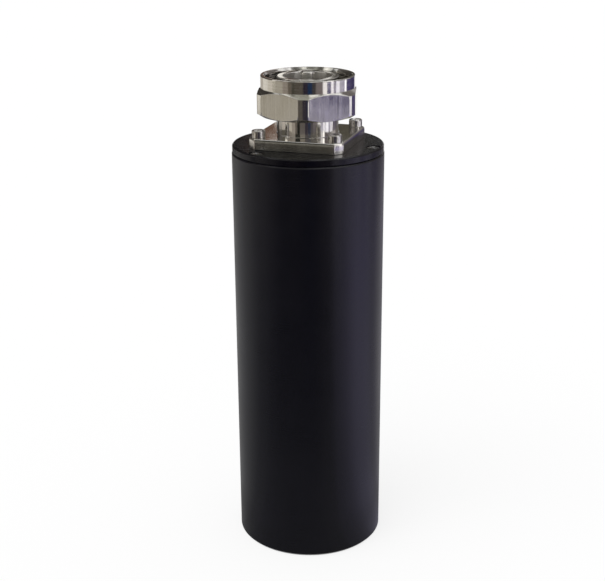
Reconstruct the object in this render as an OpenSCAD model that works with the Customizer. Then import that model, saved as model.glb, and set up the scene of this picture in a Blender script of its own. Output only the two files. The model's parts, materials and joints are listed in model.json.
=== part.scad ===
// Dry coaxial load: a plain cylindrical heat sink, closed by an end cap that
// carries a square-flanged plug connector with a free-turning coupling nut.
// Inside, a film resistor rod stands in a horn whose bore narrows to its shorted end.
// Millimetres, +Z up. The origin is the centre of the flat base.

/* [Housing] */
// Outer diameter of the cylindrical housing
housing_d = 51; // [50:0.5:60]
// Height of the housing, from its base to the joint with the end cap
housing_h = 140.5; // [110:0.5:200]
// Thickness of the housing's side wall
housing_wall = 5.3; // [5:0.1:6]
// Thickness of the housing's floor
housing_floor = 5; // [3:0.5:10]
// Chamfer round the foot of the housing
foot_chamfer = 0.7; // [0.2:0.1:2]
// Chamfer at each side of the joint between housing and cap
joint_chamfer = 0.4; // [0.1:0.1:0.8]

/* [End cap] */
// Thickness of the cap's disc
cap_t = 2.6; // [2:0.1:6]
// How far the cap's rim stands back from the housing's side
cap_setback = 0.15; // [0:0.05:0.6]
// Depth of the plug that reaches down into the housing
cap_plug_h = 10; // [9:0.5:14]
// Depth of the seal groove round the plug
cap_groove_depth = 1.4; // [1:0.1:1.8]
// Width of the seal groove round the plug
cap_groove_w = 2; // [1.9:0.1:2.4]
// Height of the seal groove above the plug's lower face
cap_groove_up = 1.4; // [1:0.1:2]
// Land between a cap screw's head and the chamfer at the cap's rim
cap_screw_land = 0.1; // [0:0.1:0.6]

/* [Connector body] */
// Side of the square flange
flange_side = 32; // [30:0.5:34]
// Diameter to which the flange's corners are turned
flange_corner_d = 41.8; // [40.5:0.1:43]
// Thickness of the flange
flange_t = 3.6; // [2:0.1:5]
// Spacing of the four flange screws along a side
flange_screw_pitch = 25.8; // [24:0.1:26]
// Direction of the flange's first corner, seen from above
flange_angle = -62; // [-180:1:180]
// Depth of the round spigot below the flange
spigot_h = 4; // [3.5:0.1:5]
// Wall of the spigot round the bead
spigot_wall = 1.8; // [1.6:0.1:2.2]
// Depth of the seal groove round the spigot
spigot_groove_depth = 0.9; // [0.7:0.05:1]
// Width of the seal groove round the spigot
spigot_groove_w = 1.4; // [1.2:0.1:1.6]
// Inner diameter of the outer contact
contact_bore_d = 16; // [15:0.1:17]
// Wall of the outer contact and of the neck below it
contact_wall = 2.2; // [2:0.1:2.6]
// How far the outer contact's face lies below the nut's rim
contact_setback = 0.4; // [0:0.1:1]
// Radius of the fillet between neck and flange
neck_fillet = 0.3; // [0.2:0.1:1.5]

/* [Coupling nut] */
// Width of the hexagon across its flats
nut_af = 32; // [31.8:0.1:36]
// Diameter to which the hexagon's corners are turned
nut_corner_d = 35.3; // [34.5:0.1:36]
// Height of the hexagon
nut_hex_h = 8.9; // [7:0.1:12]
// Diameter of the round collar in front of the hexagon
nut_collar_d = 31.2; // [30.5:0.1:31.6]
// Height of the round collar
nut_collar_h = 4.1; // [2:0.1:8]
// Slope of the hexagon's turned chamfers
nut_chamfer_angle = 33; // [20:1:45]
// Gap between the flange and the nut, where the neck shows
nut_standoff = 6.2; // [4:0.1:12]
// Thickness of the nut's rear wall
nut_wall_t = 3.6; // [3.2:0.1:4]
// Inner diameter at the crests of the coupling thread
nut_thread_d = 27.38; // [27.2:0.01:27.6]
// Diameter of the relief behind the coupling thread
nut_relief_d = 29.4; // [28.5:0.1:29.8]
// Width of the relief behind the coupling thread
nut_relief_w = 1.8; // [1:0.1:2.4]
// Lead-in chamfer at the mouth of the nut
nut_lead_in = 0.9; // [0.3:0.1:1.2]
// Direction of the hexagon's first corner, seen from above
nut_angle = -95; // [-180:1:180]

/* [Retaining ring] */
// Height of the ring that keeps the nut on the neck
ring_t = 1.1; // [0.8:0.1:1.3]
// Width of the ring's section
ring_w = 1.5; // [1.3:0.1:1.6]
// Depth of the ring's groove in the neck
ring_groove_depth = 0.85; // [0.7:0.05:0.95]
// Height of the ring above the nut's rear face
ring_up = 1.25; // [1:0.05:1.4]
// Width of the gap in the ring
ring_gap = 4; // [2:0.5:8]

/* [Contacts] */
// Diameter of the pin's contact stretch
pin_d = 4.95; // [4.5:0.05:5.3]
// How far the pin's tip stands above the nut's rim
pin_rise = 1; // [0:0.1:3]
// Depth of the pin's shoulder below the outer contact's face
pin_shoulder_depth = 1.9; // [1.4:0.1:4]
// Diameter of the inner line behind the shoulder
inner_d = 7; // [6:0.1:7.6]
// Diameter of the waist inside the bead
waist_d = 5.3; // [5:0.1:5.6]
// Diameter of the pin's threaded stub
stub_d = 4; // [3:0.1:4.4]
// Length of the pin's threaded stub
stub_h = 5; // [3:0.5:5.5]
// Thickness of the insulating bead
bead_t = 6; // [5:0.5:8]
// Depth of the bead's seat outside the line's bore
bead_step = 0.8; // [0.5:0.1:1]
// Outer diameter of the front gasket
gasket_d = 26; // [24:0.5:26.6]
// Thickness of the front gasket
gasket_t = 1.9; // [1.2:0.1:2.4]
// Depth of the gasket's groove in the neck
gasket_groove_depth = 0.5; // [0.3:0.1:0.8]

/* [Resistor and horn] */
// Diameter of the ceramic resistor rod
rod_d = 8; // [7.4:0.1:8.6]
// Diameter of the hole through the rod
rod_hole_d = 4.4; // [3:0.2:5]
// Wall of the metal ferrules on the rod's ends
ferrule_wall = 0.4; // [0.3:0.05:0.6]
// Depth of the ferrules' cups
ferrule_cup = 5; // [3:0.5:8]
// Thickness of the ferrules' end discs
ferrule_end = 1.2; // [1:0.1:2]
// Diameter of the front ferrule's contact stub
ferrule_stub_d = 3; // [2.4:0.1:3.4]
// Length of the front ferrule's contact stub
ferrule_stub_h = 5; // [3:0.5:5.5]
// Depth of the front ferrule's face below the horn's upper face
rod_depth = 4; // [3:0.5:10]
// Line impedance at the horn's mouth, in ohms
line_impedance = 50; // [48:1:52]
// Thickness of the shorting plate under the horn
short_t = 5; // [4.5:0.5:8]
// Floor of the shorting plate under the rod's rear end
short_floor = 1.2; // [0.8:0.1:2]
// Diameter of the shorting plate
short_d = 32; // [30:1:37]
// Radius of the circle of shorting plate screws
short_screw_r = 11; // [9:0.5:12]
// Free space between the lowest screw heads and the floor
rear_space = 3.8; // [1:0.1:20]

/* [Fasteners] */
// Thread diameter of all the screws
screw_d = 2.5; // [2:0.1:2.6]
// Diameter of a socket head
socket_head_d = 4.5; // [4.2:0.1:4.8]
// Height of a socket head
socket_head_h = 2.5; // [2:0.1:3]
// Width across the flats of a socket head's key hole
socket_key_af = 2; // [1.6:0.1:2.2]
// Diameter of a countersunk head
flat_head_d = 4.7; // [4.4:0.1:4.8]
// Width across the flats of a countersunk head's key hole
flat_key_af = 1.5; // [1.3:0.1:1.6]
// Thread length of a flange screw inside the cap
flange_screw_grip = 4.5; // [3:0.1:4.5]
// Thread length of a cap screw inside the housing
cap_screw_grip = 5.5; // [3:0.5:12]
// Thread length of a horn screw inside the horn
horn_screw_grip = 5.5; // [3:0.5:12]
// Thread length of a shorting plate screw inside the horn
short_screw_grip = 5; // [3:0.5:12]
// Direction of the first cap screw, seen from above
cap_screw_angle = -138; // [-180:1:180]

/* [Hidden] */
$fn = 96;

// Radial clearances: located parts, the running nut, and a clearance hole
fit = 0.05;
run_fit = 0.09;
screw_fit = 0.05;
hole_fit = 0.2;
// Axial clearances: a part that bottoms, a seal in its groove, and the ring
bottom_gap = 0.1;
seal_gap = 0.03;
ring_play = 0.15;
// Radial room round the retaining ring's outside
ring_room = 0.3;
// Room round the front gasket in the nut, and below and above it
gasket_room = 0.5;
gasket_gap = 0.3;
// Land between a horn screw's head and the connector's seat in the cap
horn_screw_land = 0.25;
// How far the nut's rear chamfer cuts into its flats
nut_rear_land = 0.15;
// Overshoot of a cutter past the face that it opens
over = 1;

housing_r = housing_d / 2;
housing_bore_r = housing_r - housing_wall;
cap_z = housing_h;
cap_top = cap_z + cap_t;
cap_plug_z = cap_z - cap_plug_h;
cap_plug_r = housing_bore_r - fit;
cap_groove_r = cap_plug_r - cap_groove_depth;
cap_groove_z = cap_plug_z + cap_groove_up;

// Circular line through the connector, cap and horn
line_r = contact_bore_d / 2;
bead_r = line_r + bead_step;
contact_r = line_r + contact_wall;
spigot_r = bead_r + spigot_wall;
spigot_z = cap_top - spigot_h;
spigot_groove_r = spigot_r - spigot_groove_depth;
spigot_groove_z = spigot_z + (spigot_h - spigot_groove_w) / 2;
seat_r = spigot_r + fit;
bead_z = spigot_z;
bead_top = bead_z + bead_t;

flange_top = cap_top + flange_t;
flange_screw_r = flange_screw_pitch / sqrt(2);
nut_z = flange_top + nut_standoff;
nut_h = nut_hex_h + nut_collar_h;
nut_rim = nut_z + nut_h;
nut_bore_r = contact_r + run_fit;
contact_face = nut_rim - contact_setback;

ring_z = nut_z + ring_up;
ring_r = contact_r - ring_groove_depth + bottom_gap;
ring_out_r = ring_r + ring_w;
nut_groove_r = ring_out_r + ring_room;
gasket_z = nut_z + nut_wall_t + gasket_gap;
gasket_groove_r = contact_r - gasket_groove_depth;

pin_tip = nut_rim + pin_rise;
pin_shoulder = contact_face - pin_shoulder_depth;
pin_tip_chamfer = 0.5;
contact_edge = 0.25;

horn_top = cap_plug_z;
horn_r = housing_bore_r - 2 * fit;
horn_edge = 0.6;
short_z = housing_floor + rear_space + socket_head_h;
horn_z = short_z + short_t;
ferrule_r = rod_d / 2 + ferrule_wall;
front_face = horn_top - rod_depth;
rod_top = front_face - ferrule_end;
rod_seat = short_z + short_floor;
rod_z = rod_seat + ferrule_end;
// Impedance of a line in air is this many ohms times the log of its diameters' ratio
air_ohms = 59.96;
horn_gap = 0.3;
horn_steps = 18;
cone_h = rod_depth - 1;

// Screws: heads, lengths and circles
flat_head_rim = 0.2;
flat_head_h = (flat_head_d - screw_d) / 2 + flat_head_rim;
flat_sink = 0.3;
cap_screw_r = housing_r - cap_setback - joint_chamfer - cap_screw_land - flat_head_d / 2;
cap_screw_len = cap_t + cap_screw_grip;
flange_screw_len = flange_t + flange_screw_grip;
horn_screw_r = seat_r + flat_head_d / 2 + horn_screw_land;
horn_screw_len = cap_t + cap_plug_h + horn_screw_grip;
short_screw_len = short_t + short_screw_grip;
tap_extra = 0.3;

CAP_SCREW_ANGLES = [for (k = [0:2]) cap_screw_angle + 120 * k];
HORN_SCREW_ANGLES = [for (k = [0:2]) flange_angle + 45 + 120 * k];
SHORT_SCREW_ANGLES = [for (k = [0:2]) 90 + 120 * k];
FLANGE_SCREW_ANGLES = [for (k = [0:3]) flange_angle + 90 * k];

// Shared shapes

// A child placed on a circle round the axis
module on_circle(angle, r, z) {
    rotate([0, 0, angle])
        translate([r, 0, z])
            children();
}

// A plain cylinder between two heights
module drum(r, z0, z1) {
    translate([0, 0, z0])
        cylinder(r = r, h = z1 - z0);
}

// A six-sided prism given by its width across the flats
module hexagon(af, h) {
    cylinder(r = af / sqrt(3), h = h, $fn = 6);
}

// A ring of round section, as a seal takes it
module seal_ring(r, section_r, z) {
    translate([0, 0, z])
        rotate_extrude()
            translate([r, 0])
                circle(r = section_r, $fn = 32);
}

// A socket head screw that hangs from its head's lower face at the origin
module socket_screw(len) {
    edge = 0.3;
    tip = 0.3;
    head_r = socket_head_d / 2;
    shank_r = screw_d / 2;
    difference() {
        rotate_extrude($fn = 48)
            polygon([[0, -len], [shank_r - tip, -len], [shank_r, -len + tip],
                [shank_r, 0], [head_r, 0], [head_r, socket_head_h - edge],
                [head_r - edge, socket_head_h], [0, socket_head_h]]);
        translate([0, 0, socket_head_h / 2])
            hexagon(socket_key_af, socket_head_h);
    }
}

// A countersunk screw that hangs from its head's flat top at the origin
module flat_screw(len) {
    tip = 0.3;
    key_depth = 0.9;
    head_r = flat_head_d / 2;
    shank_r = screw_d / 2;
    difference() {
        rotate_extrude($fn = 48)
            polygon([[0, -len], [shank_r - tip, -len], [shank_r, -len + tip],
                [shank_r, -flat_head_h], [head_r, -flat_head_rim], [head_r, 0], [0, 0]]);
        translate([0, 0, -key_depth])
            hexagon(flat_key_af, key_depth + over);
    }
}

// The hole that a countersunk screw's head and shank pass through, from its top down
module flat_screw_hole(depth) {
    head_r = flat_head_d / 2 + fit;
    hole_r = screw_d / 2 + hole_fit;
    cone_h = head_r - hole_r;
    rotate_extrude($fn = 48)
        polygon([[0, -depth - over], [hole_r, -depth - over],
            [hole_r, -flat_sink - flat_head_rim - cone_h],
            [head_r, -flat_sink - flat_head_rim], [head_r, over], [0, over]]);
}

// A tapped hole without its thread, from its mouth down
module tapped_hole(grip) {
    depth = grip + tap_extra;
    translate([0, 0, -depth])
        cylinder(r = screw_d / 2 + screw_fit, h = depth + over, $fn = 48);
}

// Housing

module housing() {
    color("#1b1b20")
        difference() {
            rotate_extrude()
                polygon([[0, 0], [housing_r - foot_chamfer, 0], [housing_r, foot_chamfer],
                    [housing_r, housing_h - joint_chamfer],
                    [housing_r - joint_chamfer, housing_h],
                    [housing_bore_r, housing_h],
                    [housing_bore_r, housing_floor], [0, housing_floor]]);
            for (a = CAP_SCREW_ANGLES)
                on_circle(a, cap_screw_r, housing_h)
                    tapped_hole(cap_screw_grip);
            for (a = FLANGE_SCREW_ANGLES)
                on_circle(a, flange_screw_r, cap_top)
                    tapped_hole(flange_screw_grip);
        }
}

module housing_o_ring() {
    color("#202020")
        seal_ring((cap_groove_r + housing_bore_r) / 2,
            (housing_bore_r - cap_groove_r) / 2 - seal_gap,
            cap_groove_z + cap_groove_w / 2);
}

// End cap

module end_cap() {
    rim_r = housing_r - cap_setback;
    groove_top = cap_groove_z + cap_groove_w;
    color("#26262b")
        difference() {
            rotate_extrude()
                polygon([[0, cap_plug_z], [cap_plug_r, cap_plug_z],
                    [cap_plug_r, cap_groove_z], [cap_groove_r, cap_groove_z],
                    [cap_groove_r, groove_top], [cap_plug_r, groove_top],
                    [cap_plug_r, cap_z], [rim_r - joint_chamfer, cap_z],
                    [rim_r, cap_z + joint_chamfer], [rim_r, cap_top - joint_chamfer],
                    [rim_r - joint_chamfer, cap_top], [0, cap_top]]);
            drum(line_r, cap_plug_z - over, cap_top + over);
            drum(seat_r, spigot_z, cap_top + over);
            for (a = CAP_SCREW_ANGLES)
                on_circle(a, cap_screw_r, cap_top)
                    flat_screw_hole(cap_t);
            for (a = HORN_SCREW_ANGLES)
                on_circle(a, horn_screw_r, cap_top)
                    flat_screw_hole(cap_t + cap_plug_h);
            for (a = FLANGE_SCREW_ANGLES)
                on_circle(a, flange_screw_r, cap_top)
                    tapped_hole(flange_screw_grip);
        }
}

module cap_screw(k) {
    color("#3a3a3f")
        on_circle(CAP_SCREW_ANGLES[k], cap_screw_r, cap_top - flat_sink)
            flat_screw(cap_screw_len);
}

module horn_screw(k) {
    color("#9a9a9a")
        on_circle(HORN_SCREW_ANGLES[k], horn_screw_r, cap_top - flat_sink)
            flat_screw(horn_screw_len);
}

// Connector

// The flange's outline: a square whose corners were turned off round
module flange_outline() {
    intersection() {
        rotate([0, 0, flange_angle + 45])
            square(flange_side, center = true);
        circle(d = flange_corner_d);
    }
}

// The turned part of the body: spigot, filleted neck and outer contact
module connector_turning() {
    fillet_points = [for (a = [0:15:90])
        [contact_r + neck_fillet * (1 - sin(a)),
            flange_top + neck_fillet * (1 - cos(a))]];
    groove_z = ring_z - ring_play;
    groove_top = ring_z + ring_t + ring_play;
    ring_groove_r = contact_r - ring_groove_depth;
    gasket_top = gasket_z + gasket_t + seal_gap;
    rotate_extrude()
        polygon(concat(
            [[bead_r, spigot_z + bottom_gap], [spigot_r, spigot_z + bottom_gap],
                [spigot_r, spigot_groove_z], [spigot_groove_r, spigot_groove_z],
                [spigot_groove_r, spigot_groove_z + spigot_groove_w],
                [spigot_r, spigot_groove_z + spigot_groove_w],
                [spigot_r, flange_top]],
            fillet_points,
            [[contact_r, groove_z], [ring_groove_r, groove_z],
                [ring_groove_r, groove_top], [contact_r, groove_top],
                [contact_r, gasket_z - seal_gap], [gasket_groove_r, gasket_z - seal_gap],
                [gasket_groove_r, gasket_top], [contact_r, gasket_top],
                [contact_r, contact_face - contact_edge],
                [contact_r - contact_edge, contact_face],
                [line_r + contact_edge, contact_face],
                [line_r, contact_face - contact_edge],
                [line_r, bead_top], [bead_r, bead_top]]));
}

module connector_body() {
    color("#c9c4b8")
        difference() {
            union() {
                translate([0, 0, cap_top])
                    linear_extrude(height = flange_t)
                        difference() {
                            flange_outline();
                            circle(r = bead_r + spigot_wall / 2);
                        }
                connector_turning();
            }
            for (a = FLANGE_SCREW_ANGLES)
                on_circle(a, flange_screw_r, cap_top - over)
                    cylinder(r = screw_d / 2 + hole_fit, h = flange_t + 2 * over, $fn = 48);
        }
}

module connector_o_ring() {
    color("#202020")
        seal_ring((spigot_groove_r + seat_r) / 2,
            (seat_r - spigot_groove_r) / 2 - seal_gap,
            spigot_groove_z + spigot_groove_w / 2);
}

module flange_screw(k) {
    color("#d8d8d8")
        on_circle(FLANGE_SCREW_ANGLES[k], flange_screw_r, flange_top)
            socket_screw(flange_screw_len);
}

// The hexagon's turned envelope, with a chamfer at each end
module nut_envelope() {
    corner_r = nut_corner_d / 2;
    rear_r = nut_af / 2 - nut_rear_land;
    front_r = nut_collar_d / 2;
    slope = tan(nut_chamfer_angle);
    rotate_extrude()
        polygon([[0, 0], [rear_r, 0], [corner_r, (corner_r - rear_r) * slope],
            [corner_r, nut_hex_h - (corner_r - front_r) * slope],
            [front_r, nut_hex_h], [0, nut_hex_h]]);
}

// Everything that is bored out of the nut, from its rear face to its mouth
module nut_bore() {
    rear_edge = 0.3;
    thread_r = nut_thread_d / 2;
    groove_z = ring_up - ring_play;
    groove_top = ring_up + ring_t + ring_play;
    relief_top = nut_wall_t + nut_relief_w;
    rotate_extrude()
        polygon([[0, -over], [nut_bore_r + rear_edge, -over], [nut_bore_r + rear_edge, 0],
            [nut_bore_r, rear_edge], [nut_bore_r, groove_z], [nut_groove_r, groove_z],
            [nut_groove_r, groove_top], [nut_bore_r, groove_top],
            [nut_bore_r, nut_wall_t], [nut_relief_d / 2, nut_wall_t],
            [nut_relief_d / 2, relief_top], [thread_r, relief_top],
            [thread_r, nut_h - nut_lead_in], [thread_r + nut_lead_in, nut_h],
            [thread_r + nut_lead_in, nut_h + over], [0, nut_h + over]]);
}

module coupling_nut() {
    rim_edge = 0.25;
    collar_r = nut_collar_d / 2;
    color("#cfcac0")
        translate([0, 0, nut_z])
            difference() {
                union() {
                    intersection() {
                        rotate([0, 0, nut_angle])
                            hexagon(nut_af, nut_hex_h);
                        nut_envelope();
                    }
                    rotate_extrude()
                        polygon([[0, nut_hex_h / 2], [collar_r, nut_hex_h / 2],
                            [collar_r, nut_h - rim_edge], [collar_r - rim_edge, nut_h],
                            [0, nut_h]]);
                }
                nut_bore();
                drum(gasket_d / 2 + gasket_room, nut_wall_t,
                    nut_wall_t + gasket_t + 2 * gasket_gap);
            }
}

module retaining_ring() {
    color("#b08d57")
        difference() {
            drum(ring_out_r, ring_z, ring_z + ring_t);
            drum(ring_r, ring_z - over, ring_z + ring_t + over);
            translate([0, -ring_gap / 2, ring_z - over])
                cube([2 * ring_out_r, ring_gap, ring_t + 2 * over]);
        }
}

module front_gasket() {
    edge = 0.3;
    inner_r = gasket_groove_r + fit;
    outer_r = gasket_d / 2;
    gasket_top = gasket_z + gasket_t;
    color("#45474a")
        rotate_extrude()
            polygon([[inner_r, gasket_z], [outer_r - edge, gasket_z],
                [outer_r, gasket_z + edge], [outer_r, gasket_top - edge],
                [outer_r - edge, gasket_top], [inner_r, gasket_top]]);
}

// Contacts

module dielectric_bead() {
    color("#f2f2ee")
        difference() {
            drum(bead_r - fit, bead_z, bead_top);
            drum(waist_d / 2 + fit, bead_z - over, bead_top + over);
        }
}

module centre_pin() {
    tip_r = pin_d / 2;
    line_in_r = inner_d / 2;
    shoulder_edge = 0.2;
    color("#d9c27a")
        rotate_extrude()
            polygon([[0, bead_z - stub_h], [stub_d / 2, bead_z - stub_h],
                [stub_d / 2, bead_z], [waist_d / 2, bead_z],
                [waist_d / 2, bead_top], [line_in_r, bead_top],
                [line_in_r, pin_shoulder - shoulder_edge],
                [line_in_r - shoulder_edge, pin_shoulder],
                [tip_r, pin_shoulder], [tip_r, pin_tip - pin_tip_chamfer],
                [tip_r - pin_tip_chamfer, pin_tip], [0, pin_tip]]);
}

module inner_conductor() {
    slot_w = 0.4;
    slot_h = ferrule_stub_h - 1;
    cone_top = front_face + cone_h;
    stub_depth = stub_h + tap_extra;
    socket_depth = ferrule_stub_h + tap_extra;
    color("#d9c27a")
        difference() {
            rotate_extrude()
                polygon([[0, front_face], [ferrule_r, front_face], [inner_d / 2, cone_top],
                    [inner_d / 2, bead_z], [0, bead_z]]);
            drum(stub_d / 2 + fit, bead_z - stub_depth, bead_z + over);
            drum(ferrule_stub_d / 2 + fit, front_face - over, front_face + socket_depth);
            for (a = [45, 135])
                rotate([0, 0, a])
                    translate([-ferrule_r - over, -slot_w / 2, front_face - over])
                        cube([2 * (ferrule_r + over), slot_w, slot_h + over]);
        }
}

// Resistor

module front_ferrule() {
    rod_r = rod_d / 2 + fit;
    cup_z = rod_top - ferrule_cup;
    stub_r = ferrule_stub_d / 2;
    stub_top = front_face + ferrule_stub_h;
    color("#e0e0e0")
        rotate_extrude()
            polygon([[rod_r, cup_z], [ferrule_r, cup_z], [ferrule_r, front_face],
                [stub_r, front_face], [stub_r, stub_top], [0, stub_top],
                [0, rod_top], [rod_r, rod_top]]);
}

module resistor_rod() {
    color("#5a4636")
        difference() {
            drum(rod_d / 2, rod_z, rod_top);
            drum(rod_hole_d / 2, rod_z - over, rod_top + over);
        }
}

module rear_ferrule() {
    rod_r = rod_d / 2 + fit;
    cup_top = rod_z + ferrule_cup;
    color("#e0e0e0")
        rotate_extrude()
            polygon([[0, rod_seat], [ferrule_r, rod_seat], [ferrule_r, cup_top],
                [rod_r, cup_top], [rod_r, rod_z], [0, rod_z]]);
}

// The horn's bore in air at a share of the way from the short to the mouth:
// the line's impedance falls evenly with what is left of the film
function horn_bore_r(share) =
    max(rod_d / 2 * exp(line_impedance * share / air_ohms), ferrule_r + horn_gap);

module horn_block() {
    mouth_r = line_r;
    cone_top = front_face + cone_h;
    film_z = horn_z;
    film_h = rod_top - film_z;
    taper = [for (k = [horn_steps:-1:0])
        [horn_bore_r(k / horn_steps), film_z + film_h * k / horn_steps]];
    color("#b8bcc0")
        difference() {
            rotate_extrude()
                polygon(concat(
                    [[horn_r - horn_edge, horn_z], [horn_r, horn_z + horn_edge],
                        [horn_r, horn_top - horn_edge], [horn_r - horn_edge, horn_top],
                        [mouth_r, horn_top], [mouth_r, cone_top]],
                    taper));
            for (a = HORN_SCREW_ANGLES)
                on_circle(a, horn_screw_r, horn_top)
                    tapped_hole(horn_screw_grip);
            for (a = SHORT_SCREW_ANGLES)
                on_circle(a, short_screw_r, horn_z)
                    mirror([0, 0, 1])
                        tapped_hole(short_screw_grip);
        }
}

module short_plate() {
    edge = 0.4;
    vent_r = 1;
    plate_r = short_d / 2;
    plate_top = short_z + short_t;
    color("#c9a85a")
        difference() {
            rotate_extrude()
                polygon([[0, short_z], [plate_r - edge, short_z], [plate_r, short_z + edge],
                    [plate_r, plate_top - edge], [plate_r - edge, plate_top],
                    [0, plate_top]]);
            drum(ferrule_r + fit, rod_seat, plate_top + over);
            drum(vent_r, short_z - over, plate_top);
            for (a = SHORT_SCREW_ANGLES)
                on_circle(a, short_screw_r, short_z - over)
                    cylinder(r = screw_d / 2 + hole_fit, h = short_t + 2 * over, $fn = 48);
        }
}

module short_plate_screw(k) {
    color("#9a9a9a")
        on_circle(SHORT_SCREW_ANGLES[k], short_screw_r, short_z)
            mirror([0, 0, 1])
                socket_screw(short_screw_len);
}

housing();
housing_o_ring();
end_cap();
cap_screw(0);  // cap_screw_1
cap_screw(1);  // cap_screw_2
cap_screw(2);  // cap_screw_3
connector_body();
connector_o_ring();
flange_screw(0);  // flange_screw_1
flange_screw(1);  // flange_screw_2
flange_screw(2);  // flange_screw_3
flange_screw(3);  // flange_screw_4
coupling_nut();
retaining_ring();
front_gasket();
dielectric_bead();
centre_pin();
inner_conductor();
front_ferrule();
resistor_rod();
rear_ferrule();
horn_block();
horn_screw(0);  // horn_screw_1
horn_screw(1);  // horn_screw_2
horn_screw(2);  // horn_screw_3
short_plate();
short_plate_screw(0);  // short_plate_screw_1
short_plate_screw(1);  // short_plate_screw_2
short_plate_screw(2);  // short_plate_screw_3
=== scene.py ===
import json
import math

import bmesh
import bpy
from mathutils import Matrix, Vector

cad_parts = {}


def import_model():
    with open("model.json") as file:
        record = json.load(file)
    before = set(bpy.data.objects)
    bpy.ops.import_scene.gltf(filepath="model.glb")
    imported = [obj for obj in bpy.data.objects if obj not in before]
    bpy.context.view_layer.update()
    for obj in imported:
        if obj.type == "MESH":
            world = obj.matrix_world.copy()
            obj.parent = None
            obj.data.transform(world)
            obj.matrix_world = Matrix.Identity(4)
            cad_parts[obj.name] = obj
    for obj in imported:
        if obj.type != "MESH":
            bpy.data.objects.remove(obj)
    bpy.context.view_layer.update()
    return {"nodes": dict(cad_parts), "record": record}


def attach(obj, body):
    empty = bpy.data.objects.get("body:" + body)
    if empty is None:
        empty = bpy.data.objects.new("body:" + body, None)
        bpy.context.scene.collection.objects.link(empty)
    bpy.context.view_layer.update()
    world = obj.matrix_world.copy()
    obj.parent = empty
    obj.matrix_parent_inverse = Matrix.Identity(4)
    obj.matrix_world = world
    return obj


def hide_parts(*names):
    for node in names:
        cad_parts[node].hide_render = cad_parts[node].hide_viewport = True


# The looks of a coaxial dummy load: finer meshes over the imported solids, the finish of
# every piece, a plain studio, and the camera of the photograph. The object's sizes are in
# millimetres, the same as in the part's source, and MM turns them into Blender's metres.

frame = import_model()

MM = 0.001

# Housing and end cap
HOUSING_R = 25.5
HOUSING_H = 140.5
HOUSING_BORE_R = 20.2
HOUSING_FLOOR = 5.0
FOOT_CHAMFER = 0.7
JOINT_CHAMFER = 0.4
CAP_H = 2.6
CAP_TOP = HOUSING_H + CAP_H
CAP_RIM_R = HOUSING_R - 0.15
CAP_PLUG_R = 20.15
CAP_PLUG_H = 10
CAP_PLUG_Z = HOUSING_H - CAP_PLUG_H
CAP_GROOVE_R = 18.75
CAP_GROOVE_Z = CAP_PLUG_Z + 1.4
CAP_GROOVE_W = 2.0
SEAT_R = 10.65

# Connector body
LINE_R = 8.0
BEAD_R = 8.8
CONTACT_R = 10.2
SPIGOT_R = 10.6
SPIGOT_H = 4
SPIGOT_Z = CAP_TOP - SPIGOT_H
SPIGOT_FOOT = SPIGOT_Z + 0.1
SPIGOT_GROOVE_R = 9.7
SPIGOT_GROOVE_W = 1.4
BEAD_H = 6
BEAD_TOP = SPIGOT_Z + BEAD_H
FLANGE_SIDE = 32.0
FLANGE_CORNER_R = 20.9
FLANGE_H = 3.6
FLANGE_TOP = CAP_TOP + FLANGE_H
FLANGE_ANGLE = math.radians(-62)
NECK_H = 6.2
NECK_FILLET = 0.3
NECK_LAND = 3

# The flange's edges: how far the corners are worn, the broken foot as points (inset, height),
# and the top edge, a quarter of an ellipse with its levels as angles
FLANGE_WEAR = 0.06
FLANGE_FOOT = ((0.12, 0), (0.03, 0.04), (0, 0.15), (0, 0.2))
FLANGE_EDGE_INSET = 0.35
FLANGE_EDGE_DROP = 1.1
FLANGE_EDGE_LEVELS = (0, 0.3, 0.6, 0.9, 1.2, 1.4, math.pi / 2)

# Coupling nut: NUT_Z is the height of its rear face, and its own heights start there
NUT_Z = FLANGE_TOP + NECK_H
NUT_H = 13.0
NUT_HEX_H = 8.9
NUT_AF = 32.0
NUT_CORNER_R = 17.65
NUT_REAR_R = 15.85
NUT_COLLAR_R = 15.6
NUT_BORE_R = 10.29
NUT_SLOPE = math.tan(math.radians(33))
NUT_ANGLE = math.radians(-95)
NUT_WALL = 3.6
NUT_RELIEF_R = 14.7
NUT_RELIEF_TOP = 5.4
NUT_LEAD_IN = 0.9
NUT_RIM_FILLET = 0.3
NUT_BORE_CHAMFER = 0.3
NUT_WEAR = 0.035
THREAD_CREST_R = 13.69
THREAD_ROOT_R = 14.5
THREAD_PITCH = 1.5
RING_UP = 1.25
RING_H = 1.1
RING_PLAY = 0.15
RING_SEAT_R = 9.35
NUT_GROOVE_R = 11.25
NUT_RIM = NUT_Z + NUT_H
CONTACT_FACE = NUT_RIM - 0.4

# Gasket and pin
GASKET_Z = NUT_Z + NUT_WALL + 0.3
GASKET_H = 1.9
GASKET_SEAT_R = 9.7
GASKET_R = 13.0
PIN_R = 2.475
PIN_LINE_R = 3.5
PIN_WAIST_R = 2.65
PIN_STUB_R = 2.0
PIN_STUB_Z = SPIGOT_Z - 5
PIN_SHOULDER = CONTACT_FACE - 1.9
PIN_TIP = NUT_RIM + 1
PIN_TIP_FILLET = 0.75

# Screws: the thread, and the plain stretches at its tip and below the head
SCREW_R = 1.25
SCREW_NECK_R = SCREW_R - 0.05
SCREW_PITCH = 0.45
SCREW_THREAD_DEPTH = 0.18
SCREW_TIP_CHAMFER = 0.15
SCREW_TIP_GAP = 0.2
SCREW_NECK_GAP = 0.1

# Holes, and how far their cutters go past the faces that they open
TAP_R = 1.3
TAP_EXTRA = 0.3
HOLE_R = 1.45
HOLE_CHAMFER = 0.12
CUT_PAST = 1

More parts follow.
